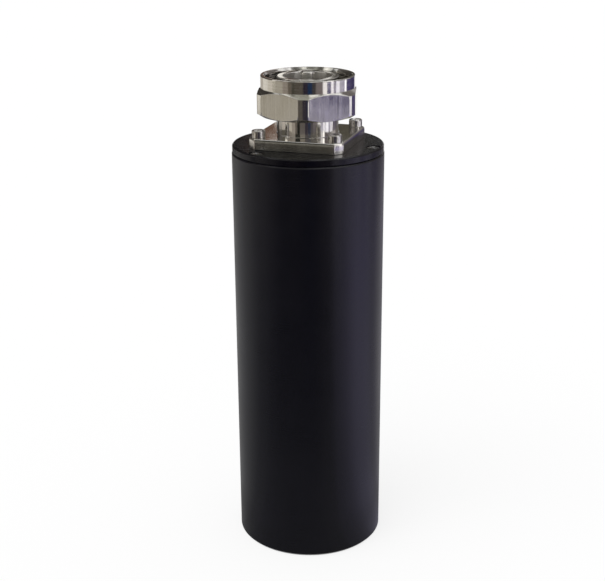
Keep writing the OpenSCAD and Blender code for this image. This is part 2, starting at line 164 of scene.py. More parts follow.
# Socket heads, with the land round the key hole, and countersunk heads, with the shoulder
# and the land of their domes
SOCKET_R = 2.25
SOCKET_H = 2.5
SOCKET_FOOT_FILLET = 0.12
SOCKET_TOP_FILLET = 0.36
SOCKET_LAND_R = 1.38
SOCKET_KEY = 2.0
SOCKET_KEY_DEPTH = 1.25
FLAT_R = 2.35
FLAT_RIM = 0.2
FLAT_SINK = 0.3
FLAT_GAP = 0.05
FLAT_DOME = 0.15
FLAT_DOME_FILLET = 0.8
FLAT_SHOULDER_R = 1.7
FLAT_LAND_R = 1.05
FLAT_KEY = 1.5
FLAT_KEY_DEPTH = 0.9

# Key holes: the round mouth as points (out, down) from the wall, and the drilled floor as
# points (share of the wall's radius, down) from the wall's foot
KEY_MOUTH = ((0.16, 0), (0.04, 0.06), (0, 0.16))
KEY_FLOOR = ((1, 0), (0.5, 0.12), (0, 0.2))

# Where the screws sit, and about how far each goes into the piece that holds it. The
# flange's screws stand in a square, a pitch apart
FLANGE_SCREW_PITCH = 25.8
FLANGE_SCREW_R = FLANGE_SCREW_PITCH / math.sqrt(2)
FLANGE_SCREW_GRIP = 4.5
CAP_SCREW_R = 22.5
CAP_SCREW_GRIP = 5.5
CAP_SCREW_ANGLE = math.radians(-138)
HORN_SCREW_R = 13.25

FLANGE_SCREW_ANGLES = [FLANGE_ANGLE + math.radians(90 * k) for k in range(4)]
CAP_SCREW_ANGLES = [CAP_SCREW_ANGLE + math.radians(120 * k) for k in range(3)]
HORN_SCREW_ANGLES = [FLANGE_ANGLE + math.radians(45 + 120 * k) for k in range(3)]

# Fillets that most turned edges have: crisp ones in grooves and seats, and eased ones
CRISP = 0.05
EASED = 0.1

# The gap that keeps the gasket and the bead off their seats
FIT_GAP = 0.05

# Meshes: steps round the axis, thread levels in each pitch, the angles added on both sides
# of a prism's edges, an arc's longest reach as a share of the sides that it joins, the share
# of that reach at which a point holds the shading, and the bend that shows as an edge
TAU = 2 * math.pi
ROUND_STEPS = 240
PIN_STEPS = 120
SCREW_STEPS = 60
SCREW_LEVELS = 6
NUT_LEVELS = 12
NEAR_EDGES = (-0.03, -0.015, -0.006, 0, 0.006, 0.015, 0.03)
FILLET_REACH = 0.42
FILLET_HOLD = 0.15
SHARP = math.radians(34)


# Shapes

def rounded(corners, closed=True, turns=5):
    """The line through corners (radius, height, fillet), with an arc at each corner.
    A point just outside each arc keeps the shading of the long faces flat."""
    line = []
    count = len(corners)
    for i, (r, z, fillet) in enumerate(corners):
        here = Vector((r, z))
        if fillet == 0 or (not closed and i in (0, count - 1)):
            line.append((r, z))
            continue
        back = Vector(corners[i - 1][:2]) - here
        ahead = Vector(corners[(i + 1) % count][:2]) - here
        reach = min(fillet / math.tan(back.angle(ahead) / 2), FILLET_REACH * back.length,
                    FILLET_REACH * ahead.length)
        start = here + back.normalized() * reach
        end = here + ahead.normalized() * reach
        hold = FILLET_HOLD * reach
        line.append(tuple(start + back.normalized() * hold))
        for k in range(turns):
            t = k / (turns - 1)
            point = start * (1 - t) ** 2 + here * (2 * t * (1 - t)) + end * t ** 2
            line.append(tuple(point))
        line.append(tuple(end + ahead.normalized() * hold))
    return line


def even_angles(steps):
    """Angles at even steps round the axis."""
    return [TAU * k / steps for k in range(steps)]


def prism_angles(across, sides, first_corner, corner_r, step):
    """Angles round a prism whose corners are turned to corner_r, closer together where
    each flat meets a turned corner."""
    half = math.pi / sides
    strip = half - math.acos(across / 2 / corner_r)
    offsets = {round(-half + step * k, 5) for k in range(int(2 * half / step))}
    for edge in (-strip, strip):
        offsets |= {round(edge + d, 5) for d in NEAR_EDGES}
    return [first_corner + TAU * k / sides + t
            for k in range(sides) for t in sorted(offsets) if -half <= t < half]


def flat_radius(angle, across, sides, first_corner):
    """Distance from the axis to a prism's flats, in the direction angle."""
    sector = TAU / sides
    off = (angle - first_corner) % sector - sector / 2
    return across / 2 / math.cos(off)


def soft_min(a, b, edge):
    """The smaller of two radii, with the edge between them worn a little round."""
    return min(a, b) - edge * math.log1p(math.exp(-abs(a - b) / edge))


def turned(name, section, angles, centre=(0, 0), base=0):
    """A closed solid whose section in the direction angle is the line section(angle) of
    (radius, height) points. The line goes up the outside. It starts and ends on the axis,
    or else it closes on itself round a hole."""
    sections = [section(a) for a in angles]
    solid = sections[0][0][0] == 0
    steps, count = len(angles), len(sections[0])
    cx, cy = centre
    verts, faces = [], []
    inner = range(1, count - 1) if solid else range(count)
    for angle, line in zip(angles, sections):
        for j in inner:
            r, z = line[j]
            verts.append(((cx + r * math.cos(angle)) * MM, (cy + r * math.sin(angle)) * MM,
                          (base + z) * MM))
    per = len(inner)
    rows = per - 1 if solid else per
    for k in range(steps):
        here, there = k * per, (k + 1) % steps * per
        for j in range(rows):
            up = (j + 1) % per
            faces.append((here + j, there + j, there + up, here + up))
    if solid:
        low, high = len(verts), len(verts) + 1
        verts.append((cx * MM, cy * MM, (base + sections[0][0][1]) * MM))
        verts.append((cx * MM, cy * MM, (base + sections[0][-1][1]) * MM))
        for k in range(steps):
            here, there = k * per, (k + 1) % steps * per
            faces.append((low, there, here))
            faces.append((high, here + per - 1, there + per - 1))
    mesh = bpy.data.meshes.new(name)
    mesh.from_pydata(verts, [], faces)
    mesh.validate()
    obj = bpy.data.objects.new(name, mesh)
    bpy.context.scene.collection.objects.link(obj)
    return obj


def lathe(name, line, steps=ROUND_STEPS, centre=(0, 0), base=0):
    """A closed solid that has the same line all round."""
    return turned(name, lambda angle: line, even_angles(steps), centre, base)


def joined(objects):
    """Several meshes that don't touch as one object."""
    whole = bmesh.new()
    for obj in objects:
        whole.from_mesh(obj.data)
        bpy.data.objects.remove(obj)
    mesh = bpy.data.meshes.new("cutters")
    whole.to_mesh(mesh)
    whole.free()
    obj = bpy.data.objects.new("cutters", mesh)
    bpy.context.scene.collection.objects.link(obj)
    return obj


def cut(obj, cutters):
    """Takes the cutters out of obj, for good."""
    cutter = joined(cutters)
    modifier = obj.modifiers.new("cut", "BOOLEAN")
    modifier.operation = "DIFFERENCE"
    modifier.solver = "EXACT"
    modifier.object = cutter
    graph = bpy.context.evaluated_depsgraph_get()
    mesh = bpy.data.meshes.new_from_object(obj.evaluated_get(graph))
    obj.modifiers.remove(modifier)
    obj.data = mesh
    bpy.data.objects.remove(cutter)


def shade(obj):
    """Smooth shading that stays sharp at real edges."""
    work = bmesh.new()
    work.from_mesh(obj.data)
    for face in work.faces:
        face.smooth = True
    for edge in work.edges:
        edge.smooth = edge.calc_face_angle(0) < SHARP
    work.to_mesh(obj.data)
    work.free()


def place(obj, node, body, slot, finishes):
    """Puts a finished piece in the frame in place of its CAD node."""
    shade(obj)
    obj.data.materials.clear()
    obj.data.materials.append(finishes[slot])
    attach(obj, body)
    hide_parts(node)


def at(radius, angle):
    """The point at that radius and angle."""
    return (radius * math.cos(angle), radius * math.sin(angle))


# Housing and end cap

def housing(finishes):
    line = rounded([
        (0, 0, 0), (HOUSING_R - FOOT_CHAMFER, 0, 0.15), (HOUSING_R, FOOT_CHAMFER, 0.3),
        (HOUSING_R, HOUSING_H - JOINT_CHAMFER, 0.15),
        (HOUSING_R - JOINT_CHAMFER, HOUSING_H, EASED), (HOUSING_BORE_R, HOUSING_H, EASED),
        (HOUSING_BORE_R, HOUSING_FLOOR, 0.4), (0, HOUSING_FLOOR, 0)], closed=False)
    obj = lathe("housing_look", line)
    cut(obj, [tapped_hole(at(CAP_SCREW_R, a), HOUSING_H, CAP_SCREW_GRIP)
              for a in CAP_SCREW_ANGLES])
    place(obj, "housing", "load", "anodised_housing", finishes)


def end_cap(finishes):
    groove_top = CAP_GROOVE_Z + CAP_GROOVE_W
    line = rounded([
        (LINE_R, CAP_PLUG_Z, EASED), (CAP_PLUG_R, CAP_PLUG_Z, EASED),
        (CAP_PLUG_R, CAP_GROOVE_Z, CRISP), (CAP_GROOVE_R, CAP_GROOVE_Z, CRISP),
        (CAP_GROOVE_R, groove_top, CRISP), (CAP_PLUG_R, groove_top, CRISP),
        (CAP_PLUG_R, HOUSING_H, CRISP), (CAP_RIM_R - JOINT_CHAMFER, HOUSING_H, EASED),
        (CAP_RIM_R, HOUSING_H + JOINT_CHAMFER, 0.15),
        (CAP_RIM_R, CAP_TOP - JOINT_CHAMFER, 0.25),
        (CAP_RIM_R - JOINT_CHAMFER, CAP_TOP, 0.2), (SEAT_R, CAP_TOP, EASED),
        (SEAT_R, SPIGOT_Z, CRISP), (LINE_R, SPIGOT_Z, CRISP)])
    obj = lathe("end_cap_look", line)
    cut(obj,
        [flat_hole(at(CAP_SCREW_R, a), CAP_TOP, CAP_H) for a in CAP_SCREW_ANGLES]
        + [flat_hole(at(HORN_SCREW_R, a), CAP_TOP, CAP_H + CAP_PLUG_H)
           for a in HORN_SCREW_ANGLES]
        + [tapped_hole(at(FLANGE_SCREW_R, a), CAP_TOP, FLANGE_SCREW_GRIP)
           for a in FLANGE_SCREW_ANGLES])
    place(obj, "end_cap", "load", "anodised_cap", finishes)


# Screws and their holes

def tapped_hole(centre, top, grip):
    """A cutter for a tapped hole, from its mouth down."""
    bottom = -grip - TAP_EXTRA
    line = [(0, bottom), (TAP_R, bottom), (TAP_R, CUT_PAST), (0, CUT_PAST)]
    return lathe("hole", line, SCREW_STEPS, centre, top)


def flat_hole(centre, top, depth):
    """A cutter for the hole of a countersunk screw, from its mouth down."""
    head_r = FLAT_R + FLAT_GAP
    mouth_r = head_r + HOLE_CHAMFER
    seat = -FLAT_SINK - FLAT_RIM
    bottom = -depth - CUT_PAST
    line = [(0, bottom), (HOLE_R, bottom), (HOLE_R, seat - head_r + HOLE_R), (head_r, seat),
            (head_r, -HOLE_CHAMFER), (mouth_r, 0), (mouth_r, CUT_PAST), (0, CUT_PAST)]
    return lathe("hole", line, SCREW_STEPS, centre, top)


def clear_hole(centre, bottom, height):
    """A cutter for a plain hole through a plate, from its underside up."""
    low, high = -CUT_PAST, height + CUT_PAST
    line = [(0, low), (HOLE_R, low), (HOLE_R, high), (0, high)]
    return lathe("hole", line, SCREW_STEPS, centre, bottom)


def shank_line(angle, length, neck):
    """The thread of a screw from its tip up to neck, a right-handed spiral."""
    crest, root = SCREW_R, SCREW_R - SCREW_THREAD_DEPTH
    line = [(0, -length), (root - SCREW_TIP_CHAMFER, -length)]
    low, high = SCREW_TIP_GAP - length, neck - SCREW_NECK_GAP
    levels = int((length + neck) / SCREW_PITCH * SCREW_LEVELS)
    for k in range(levels + 1):
        z = low + (high - low) * k / levels
        phase = (z / SCREW_PITCH - angle / TAU) % 1
        line.append((root + (crest - root) * abs(2 * phase - 1), z))
    return line


def key_line(angle, top, across, depth, turn):
    """The key hole of a screw, from its mouth down to the middle of its floor."""
    wall = flat_radius(angle, across, sides=6, first_corner=turn)
    mouth = [(wall + out, top - down) for out, down in KEY_MOUTH]
    return mouth + [(wall * share, top - depth - down) for share, down in KEY_FLOOR]


def socket_screw(name, centre, top, length, turn, finishes):
    """A socket head screw whose head stands on the height top."""
    def section(angle):
        head = rounded([
            (SCREW_NECK_R, 0, 0), (SOCKET_R, 0, SOCKET_FOOT_FILLET),
            (SOCKET_R, SOCKET_H, SOCKET_TOP_FILLET), (SOCKET_LAND_R, SOCKET_H, 0)],
            closed=False, turns=6)[:-1]
        return (shank_line(angle, length, 0) + head
                + key_line(angle, SOCKET_H, SOCKET_KEY, SOCKET_KEY_DEPTH, turn))
    obj = turned(name + "_look", section, even_angles(SCREW_STEPS), centre, top)
    place(obj, name, "load", "bright_steel", finishes)


def flat_screw(name, centre, top, length, turn, finishes):
    """A countersunk screw with a slightly domed head, about the height top."""
    def section(angle):
        neck = -FLAT_RIM - (FLAT_R - SCREW_R)
        head = rounded([
            (SCREW_NECK_R, neck, 0), (FLAT_R, -FLAT_RIM, 0.02), (FLAT_R, -FLAT_DOME, 0.04),
            (FLAT_SHOULDER_R, FLAT_DOME / 3, FLAT_DOME_FILLET), (FLAT_LAND_R, FLAT_DOME, 0)],
            closed=False)[:-1]
        return (shank_line(angle, length, neck) + head
                + key_line(angle, FLAT_DOME, FLAT_KEY, FLAT_KEY_DEPTH, turn))
    obj = turned(name + "_look", section, even_angles(SCREW_STEPS), centre, top)
    place(obj, name, "load", "dark_steel", finishes)


# Connector

def flange_edge(angle, inset):
    """The flange's outline in the direction angle, moved in by inset."""
    side = flat_radius(angle, FLANGE_SIDE - 2 * inset, sides=4, first_corner=FLANGE_ANGLE)
    return soft_min(side, FLANGE_CORNER_R - inset, FLANGE_WEAR)


def flange_side(angle):
    """The flange's side in the direction angle, from its foot to its rounded top edge. A
    point below that edge and one inside it hold the shading of the flat faces."""
    hold_below, hold_inside = 0.5, 0.06
    line = [(flange_edge(angle, inset), CAP_TOP + up) for inset, up in FLANGE_FOOT]
    line.append((flange_edge(angle, 0), FLANGE_TOP - FLANGE_EDGE_DROP - hold_below))
    for t in FLANGE_EDGE_LEVELS:
        inset, drop = FLANGE_EDGE_INSET * (1 - math.cos(t)), FLANGE_EDGE_DROP * (1 - math.sin(t))
        line.append((flange_edge(angle, inset), FLANGE_TOP - drop))
    line.append((flange_edge(angle, FLANGE_EDGE_INSET + hold_inside), FLANGE_TOP))
    return line


def connector_body(finishes):
    groove_z = SPIGOT_Z + (SPIGOT_H - SPIGOT_GROOVE_W) / 2
    groove_top = groove_z + SPIGOT_GROOVE_W
    ring_z = NUT_Z + RING_UP - RING_PLAY
    ring_top = NUT_Z + RING_UP + RING_H + RING_PLAY
    gasket_top = GASKET_Z + GASKET_H
    below = rounded([
        (BEAD_R, SPIGOT_FOOT, EASED), (SPIGOT_R, SPIGOT_FOOT, 0.2),
        (SPIGOT_R, groove_z, CRISP), (SPIGOT_GROOVE_R, groove_z, CRISP),
        (SPIGOT_GROOVE_R, groove_top, CRISP), (SPIGOT_R, groove_top, CRISP),
        (SPIGOT_R, CAP_TOP, 0)], closed=False)
    above = rounded([
        (CONTACT_R + NECK_LAND, FLANGE_TOP, 0), (CONTACT_R, FLANGE_TOP, NECK_FILLET),
        (CONTACT_R, ring_z, EASED), (RING_SEAT_R, ring_z, CRISP), (RING_SEAT_R, ring_top, CRISP),
        (CONTACT_R, ring_top, EASED), (CONTACT_R, GASKET_Z, CRISP),
        (GASKET_SEAT_R, GASKET_Z, CRISP), (GASKET_SEAT_R, gasket_top, CRISP),
        (CONTACT_R, gasket_top, CRISP), (CONTACT_R, CONTACT_FACE, 0.25),
        (LINE_R, CONTACT_FACE, 0.3), (LINE_R, BEAD_TOP, CRISP), (BEAD_R, BEAD_TOP, CRISP),
        (BEAD_R, SPIGOT_FOOT, 0)], closed=False, turns=6)[:-1]
    angles = prism_angles(FLANGE_SIDE, sides=4, first_corner=FLANGE_ANGLE,
                          corner_r=FLANGE_CORNER_R, step=math.radians(1.5))
    obj = turned("connector_body_look",
                 lambda angle: below + flange_side(angle) + above, angles)
    cut(obj, [clear_hole(at(FLANGE_SCREW_R, a), CAP_TOP, FLANGE_H)
              for a in FLANGE_SCREW_ANGLES])
    place(obj, "connector_body", "load", "plated_body", finishes)


def thread_radius(angle, z):
    """The nut's thread: a right-handed spiral groove of 60 degrees, cut into the crests,
    with a flat root an eighth of the pitch wide and a cone that leads in."""
    phase = (z / THREAD_PITCH - angle / TAU) % 1
    from_root = abs(phase - 0.5) * THREAD_PITCH - THREAD_PITCH / 16
    groove = THREAD_ROOT_R - max(0, from_root) * math.sqrt(3)
    lead_in = THREAD_CREST_R + NUT_LEAD_IN - (NUT_H - z)
    return max(THREAD_CREST_R, groove, lead_in)


def nut_envelope():
    """The turned outside of the nut, with close levels where it meets the flats."""
    rise = (NUT_CORNER_R - NUT_REAR_R) * NUT_SLOPE
    fall = (NUT_CORNER_R - NUT_COLLAR_R) * NUT_SLOPE
    rows, middle_rows = 22, 6
    rear = [(NUT_REAR_R + (NUT_CORNER_R - NUT_REAR_R) * k / rows, rise * k / rows)
            for k in range(rows + 1)]
    middle = [(NUT_CORNER_R, rise + (NUT_HEX_H - fall - rise) * k / middle_rows)
              for k in range(1, middle_rows)]
    front = [(NUT_CORNER_R - (NUT_CORNER_R - NUT_COLLAR_R) * k / rows,
              NUT_HEX_H - fall + fall * k / rows) for k in range(rows + 1)]
    foot = rounded([
        front[-2] + (0,), (NUT_COLLAR_R, NUT_HEX_H, 0.15), (NUT_COLLAR_R, NUT_H, 0)],
        closed=False)[1:-1]
    rim = rounded([
        (NUT_COLLAR_R, NUT_HEX_H, 0), (NUT_COLLAR_R, NUT_H, NUT_RIM_FILLET),
        (THREAD_CREST_R + NUT_LEAD_IN, NUT_H, 0)], closed=False)[1:-1]
    return rear + middle + front[:-1] + foot + rim


def coupling_nut(finishes):
    envelope = nut_envelope()
    groove_z = RING_UP - RING_PLAY
    groove_top = RING_UP + RING_H + RING_PLAY
    level_count = int((NUT_H - NUT_RELIEF_TOP) * NUT_LEVELS / THREAD_PITCH) + 1
    levels = [NUT_H - THREAD_PITCH / NUT_LEVELS * k for k in range(level_count)]
    rear_bore = rounded([
        (NUT_RELIEF_R, NUT_RELIEF_TOP, 0), (NUT_RELIEF_R, NUT_WALL, 0.2),
        (NUT_BORE_R, NUT_WALL, EASED), (NUT_BORE_R, groove_top, CRISP),
        (NUT_GROOVE_R, groove_top, CRISP), (NUT_GROOVE_R, groove_z, CRISP),
        (NUT_BORE_R, groove_z, CRISP), (NUT_BORE_R, NUT_BORE_CHAMFER, CRISP),
        (NUT_BORE_R + NUT_BORE_CHAMFER, 0, CRISP), (NUT_REAR_R, 0, 0)], closed=False)[:-1]

    def section(angle):
        flat = flat_radius(angle, NUT_AF, sides=6, first_corner=NUT_ANGLE)
        outside = [(soft_min(r, flat, NUT_WEAR), z) for r, z in envelope]
        inside = [(thread_radius(angle, z), z) for z in levels]
        return outside + inside + rear_bore

    angles = prism_angles(NUT_AF, sides=6, first_corner=NUT_ANGLE,
                          corner_r=NUT_CORNER_R, step=math.radians(1.25))
    obj = turned("coupling_nut_look", section, angles, base=NUT_Z)
    place(obj, "coupling_nut", "nut", "plated_nut", finishes)


def front_gasket(finishes):
    line = rounded([
        (GASKET_SEAT_R + FIT_GAP, 0, EASED), (GASKET_R, 0, 0.5), (GASKET_R, GASKET_H, 0.5),
        (GASKET_SEAT_R + FIT_GAP, GASKET_H, EASED)])
    obj = lathe("front_gasket_look", line, base=GASKET_Z)
    place(obj, "front_gasket", "load", "gasket_silicone", finishes)


def centre_pin(finishes):
    line = rounded([
        (0, PIN_STUB_Z, 0), (PIN_STUB_R, PIN_STUB_Z, 0.2), (PIN_STUB_R, SPIGOT_Z, 0),
        (PIN_WAIST_R, SPIGOT_Z, EASED), (PIN_WAIST_R, BEAD_TOP, 0),
        (PIN_LINE_R, BEAD_TOP, EASED), (PIN_LINE_R, PIN_SHOULDER, 0.25),
        (PIN_R, PIN_SHOULDER, 0.15), (PIN_R, PIN_TIP, PIN_TIP_FILLET), (0, PIN_TIP, 0)],
        closed=False, turns=7)
    obj = lathe("centre_pin_look", line, PIN_STEPS)
    place(obj, "centre_pin", "load", "plated_pin", finishes)


def dielectric_bead(finishes):
    line = rounded([
        (PIN_WAIST_R + FIT_GAP, SPIGOT_Z, EASED), (BEAD_R - FIT_GAP, SPIGOT_Z, 0.2),
        (BEAD_R - FIT_GAP, BEAD_TOP, 0.2), (PIN_WAIST_R + FIT_GAP, BEAD_TOP, EASED)])
    obj = lathe("dielectric_bead_look", line)
    place(obj, "dielectric_bead", "load", "white_bead", finishes)


# Materials: lengths are in metres, noise scales in cells per metre

# How far a lathe mark's noise moves for each radian round the axis
LATHE_DRIFT = 0.00008
# Half the height or width over which a change of finish is blended
BLEND = 0.0001
# The colour sockets of Blender's mix node, which has others of the same names
MIX_FIRST, MIX_SECOND, MIX_RESULT = 6, 7, 2


class Finish:
    """A material that is built up node by node on one Principled shader."""

    def __init__(self, name, metallic=0.0, specular=0.5, stretch=0.0):
        self.material = bpy.data.materials.new(name)
        self.material.use_nodes = True
        self.nodes = self.material.node_tree.nodes
        self.links = self.material.node_tree.links
        self.shader = self.nodes["Principled BSDF"]
        self.shader.inputs["Metallic"].default_value = metallic
        self.shader.inputs["Specular IOR Level"].default_value = specular
        self.place = self.nodes.new("ShaderNodeTexCoord").outputs["Object"]
        if stretch:
            self.turned_sheen(stretch)

    def turned_sheen(self, stretch):
        """Stretches highlights across the marks of a lathe, which run round the axis."""
        tangent = self.nodes.new("ShaderNodeTangent")
        tangent.direction_type = "RADIAL"
        tangent.axis = "Z"
        self.links.new(tangent.outputs[0], self.shader.inputs["Tangent"])
        self.shader.inputs["Anisotropic"].default_value = stretch
        self.shader.inputs["Anisotropic Rotation"].default_value = 0.25

    def fill(self, node, values):
        """Links sockets, or sets plain numbers, on the first inputs of a node."""
        for socket, value in zip(node.inputs, values):
            if isinstance(value, (int, float)):
                socket.default_value = value
            else:
                self.links.new(value, socket)
        return node.outputs[0]

    def math(self, operation, a, b=0.0):
        """One step of arithmetic on sockets or plain numbers."""
        node = self.nodes.new("ShaderNodeMath")
        node.operation = operation
        return self.fill(node, (a, b))

    def vector(self, x, y, z):
        """A vector from three sockets or numbers."""
        return self.fill(self.nodes.new("ShaderNodeCombineXYZ"), (x, y, z))

    def axes(self):
        """The sockets of x, y and z in metres."""
        node = self.nodes.new("ShaderNodeSeparateXYZ")
        self.links.new(self.place, node.inputs[0])
        return node.outputs

    def noise(self, scale, detail=3.0, rough=0.55, vector=None, stretch=(1, 1, 1)):
        """Noise over the object's own coordinates, or over a vector socket."""
        mapping = self.nodes.new("ShaderNodeMapping")
        mapping.inputs["Scale"].default_value = stretch
        self.links.new(vector or self.place, mapping.inputs["Vector"])
        node = self.nodes.new("ShaderNodeTexNoise")
        node.inputs["Scale"].default_value = scale
        node.inputs["Detail"].default_value = detail
        node.inputs["Roughness"].default_value = rough
        self.links.new(mapping.outputs[0], node.inputs["Vector"])
        return node.outputs[0]

    def radius(self):
        """The distance from the axis in metres."""
        x, y, _ = self.axes()
        square = self.math("ADD", self.math("MULTIPLY", x, x), self.math("MULTIPLY", y, y))
        return self.math("SQRT", square)

    def turned_marks(self, scale):
        """Noise that runs round the axis, as the marks of a lathe do."""
        x, y, z = self.axes()
        turn = self.math("MULTIPLY", self.math("ARCTAN2", y, x), LATHE_DRIFT)
        lane = self.vector(self.radius(), z, turn)
        return self.noise(scale, detail=4.0, rough=0.7, vector=lane)

    def span(self, value, low, high, start=0.3, end=0.7):
        """Spreads a socket's values from start to end over low to high. Noise mostly keeps
        between 0.3 and 0.7."""
        node = self.nodes.new("ShaderNodeMapRange")
        return self.fill(node, (value, start, end, low, high))

    def mixed(self, factor, first, second):
        """A colour between two plain colours, by a socket."""
        node = self.nodes.new("ShaderNodeMix")
        node.data_type = "RGBA"
        self.links.new(factor, node.inputs["Factor"])
        node.inputs[MIX_FIRST].default_value = (*first, 1)
        node.inputs[MIX_SECOND].default_value = (*second, 1)
        return node.outputs[MIX_RESULT]

    def colour(self, socket):
        """A socket as the surface's colour."""
        self.links.new(socket, self.shader.inputs["Base Color"])

    def roughness(self, *sockets):
        """The sum of several sockets as the roughness."""
        total = sockets[0]
        for socket in sockets[1:]:
            total = self.math("ADD", total, socket)
        self.links.new(total, self.shader.inputs["Roughness"])

    def bump(self, *layers):
        """Bumps laid over each other: (height socket, depth in metres, strength)."""
        normal = None
        for height, depth, strength in layers:
            node = self.nodes.new("ShaderNodeBump")
            node.inputs["Distance"].default_value = depth
            node.inputs["Strength"].default_value = strength
            self.links.new(height, node.inputs["Height"])
            if normal:
                self.links.new(normal, node.inputs["Normal"])
            normal = node.outputs[0]
        self.links.new(normal, self.shader.inputs["Normal"])


def anodised(name, dark, light, rough, specular, stretch):
    """Black satin anodising over turned metal."""
    finish = Finish(name, specular=specular, stretch=stretch)
    cloud = finish.noise(scale=60, detail=4.0)
    grain = finish.noise(scale=9000, detail=2.0)
    marks = finish.turned_marks(scale=5200)
    finish.colour(finish.mixed(finish.span(cloud, 0, 1), dark, light))
    finish.roughness(finish.span(cloud, rough - 0.03, rough + 0.03),
                     finish.span(marks, -0.02, 0.02))
    finish.bump((marks, 0.00002, 0.4), (grain, 0.000012, 0.4))
    return finish.material


def plated(name, dark, light, rough, vary, flats_below, streak_depth, duller_flats=0.0,
           bore=0.0, duller_bore=0.0):
    """Bright plating over turned faces, with the upright streaks of drawn bar below a
    height and inside the bore. The roughness varies with the marks, and grows by a little
    on the flats and inside the bore. Inside the bore the colour is also raised, partly as a
    brighter plating and partly as painted light for the deep hollow. A bore of 0 means none."""
    # The cloud's share of the mottle, and the tone added inside the bore as painted light
    cloud_share, bore_painted_light = 0.35, 0.1
    finish = Finish(name, metallic=1.0, stretch=0.8)
    z = finish.axes()[2]
    cloud = finish.noise(scale=180)
    marks = finish.turned_marks(scale=4200)
    streaks = finish.noise(scale=1700, detail=6.0, rough=0.75, stretch=(1, 1, 0.02))
    is_flat = finish.span(z, 1, 0, flats_below - BLEND, flats_below + BLEND)
    in_bore = finish.span(finish.radius(), 1, 0, bore - BLEND, bore + BLEND)
    upright = finish.math("MAXIMUM", is_flat, in_bore)
    is_turned = finish.math("SUBTRACT", 1, upright)
    tone = finish.math("ADD", finish.math("MULTIPLY", streaks, upright),
                       finish.math("MULTIPLY", marks, is_turned))
    mottle = finish.math("ADD", finish.math("MULTIPLY", cloud, cloud_share),
                         finish.math("MULTIPLY", tone, 1 - cloud_share))
    # Painted light: the tone inside the bore is raised so that the deep hollow looks lit
    mottle_and_bore_light = finish.math("ADD", mottle, finish.math("MULTIPLY", in_bore, bore_painted_light))
    finish.colour(finish.mixed(finish.span(mottle_and_bore_light, 0, 1, 0.36, 0.62), dark, light))
    finish.roughness(finish.span(tone, rough - vary, rough + vary),
                     finish.span(cloud, -0.02, 0.03),
                     finish.math("MULTIPLY", is_flat, duller_flats),
                     finish.math("MULTIPLY", in_bore, duller_bore))
    finish.bump((tone, streak_depth, 0.4))
    return finish.material


def turned_metal(name, dark, light, rough, mark_scale=4200, mark_depth=0.00001):
    """Plain metal with the marks of a lathe."""
    finish = Finish(name, metallic=1.0, stretch=0.8)
    cloud = finish.noise(scale=220)
    marks = finish.turned_marks(mark_scale)
    finish.colour(finish.mixed(finish.span(cloud, 0, 1), dark, light))
    finish.roughness(finish.span(marks, rough - 0.04, rough + 0.06),
                     finish.span(cloud, -0.02, 0.03))
    finish.bump((marks, mark_depth, 0.4))
    return finish.material


def screw_metal(name, dark, light, rough):
    """Cold-headed steel with small dents and fine scratches."""
    finish = Finish(name, metallic=1.0)
    cloud = finish.noise(scale=900, detail=4.0)
    scratch = finish.noise(scale=5000, detail=4.0, rough=0.7, stretch=(1, 0.2, 1))
    finish.colour(finish.mixed(finish.span(cloud, 0, 1), dark, light))
    finish.roughness(finish.span(scratch, rough - 0.04, rough + 0.08))
    finish.bump((cloud, 0.00002, 0.25), (scratch, 0.00001, 0.3))
    return finish.material


def moulded(name, dark, light, rough):
    """Rubber, plastic or ceramic with a fine grain."""
    finish = Finish(name, specular=0.4)
    cloud = finish.noise(scale=150, detail=4.0)
    grain = finish.noise(scale=3000)
    finish.colour(finish.mixed(finish.span(cloud, 0, 1), dark, light))
    finish.roughness(finish.span(grain, rough - 0.06, rough + 0.06))
    finish.bump((grain, 0.00002, 0.4))
    return finish.material


# Where the connector body's finish changes: at the top of the flange's flats, and a little
# outside its bore, inside which the roughness grows and the colour is raised as painted light
FLANGE_FLATS_TOP = FLANGE_TOP - 0.3
BORE_LIMIT_R = LINE_R + 0.2

